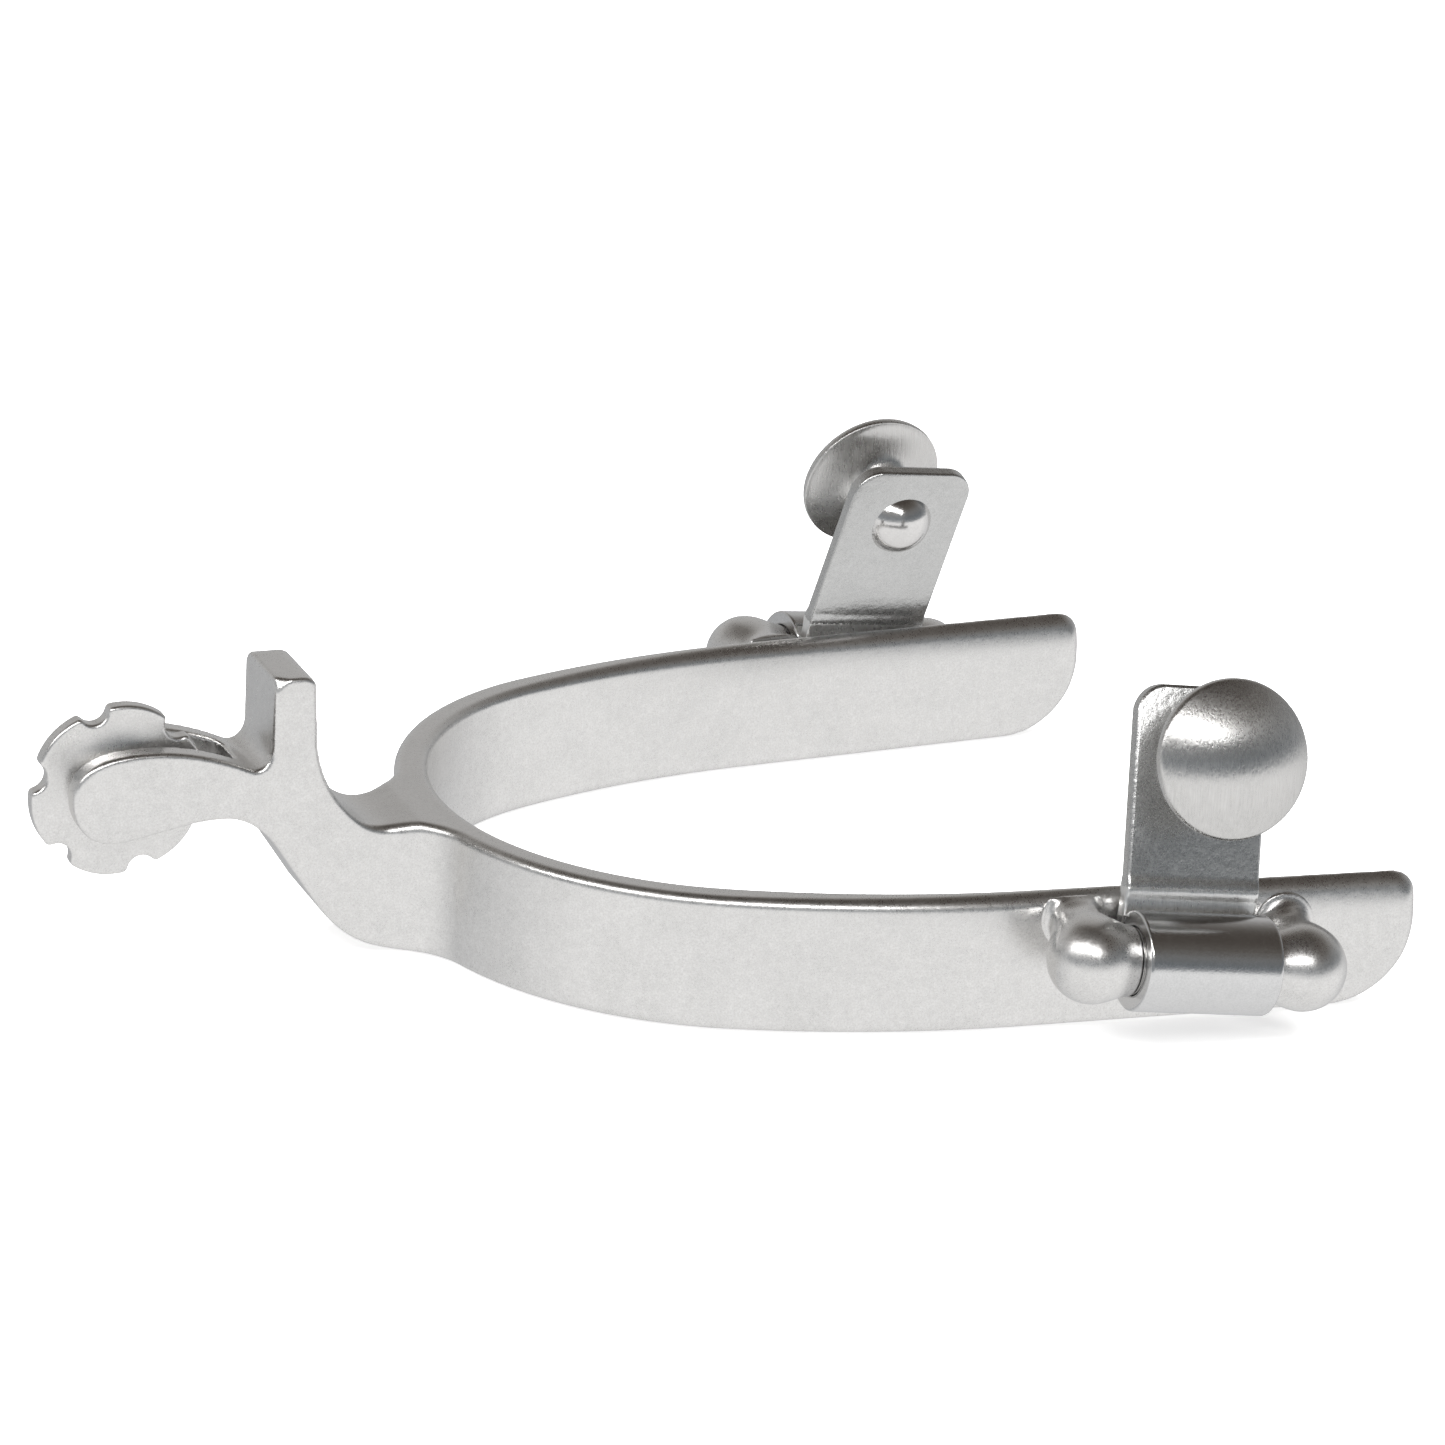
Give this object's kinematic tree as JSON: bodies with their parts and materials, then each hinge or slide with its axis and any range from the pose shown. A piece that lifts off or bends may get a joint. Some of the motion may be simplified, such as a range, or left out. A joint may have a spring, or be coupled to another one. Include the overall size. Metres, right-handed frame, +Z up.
{
  "type": "western riding spur",
  "caption": "Steel western riding spur: U-shaped heel band, forked shank with chap guard and spinning clover rowel, hinged hangers with strap buttons.",
  "frame": {"origin": "centre of the inner heel arc at the middle of the band's height", "axes": "+X from the heel to the toe, +Y to the left side, +Z up"},
  "size_m": [0.1551, 0.1204, 0.0432],
  "materials": {
    "band_steel": "satin, fine linear grain, edges polished by use",
    "rowel_steel": "satin, dished faces brighter towards the rim",
    "pin_steel": "ground smooth",
    "lug_steel": "satin, slightly rough where it is welded on",
    "hanger_steel": "bright sheet, mottled from rolling",
    "button_steel": "turned, fine horizontal brushing",
    "rivet_steel": "polished"
  },
  "bodies": {
    "spur_body": {"heel_band": "band_steel", "rowel_pin": "pin_steel", "right_rear_lug": "lug_steel", "right_front_lug": "lug_steel", "left_rear_lug": "lug_steel", "left_front_lug": "lug_steel", "right_hinge_pin": "pin_steel", "left_hinge_pin": "pin_steel"},
    "rowel_wheel": {"rowel": "rowel_steel"},
    "right_strap_hanger": {"right_hanger": "hanger_steel", "right_button": "button_steel", "right_rivet": "rivet_steel"},
    "left_strap_hanger": {"left_hanger": "hanger_steel", "left_button": "button_steel", "left_rivet": "rivet_steel"}
  },
  "joints": [
    {"name": "rowel_spin", "type": "hinge", "parent": "spur_body", "child": "rowel_wheel", "pos_m": [-0.0771, 0, 0.013], "axis": [0, 1, 0], "continuous": true},
    {"name": "right_hanger_swing", "type": "hinge", "parent": "spur_body", "child": "right_strap_hanger", "pos_m": [0.0363, -0.05384, 0.00165], "axis": [0.9917, -0.0702, -0.108], "range_deg": [-1, 195]},
    {"name": "left_hanger_swing", "type": "hinge", "parent": "spur_body", "child": "left_strap_hanger", "pos_m": [0.0363, 0.05384, 0.00165], "axis": [-0.9917, -0.0702, 0.108], "range_deg": [-1, 195]}
  ]
}
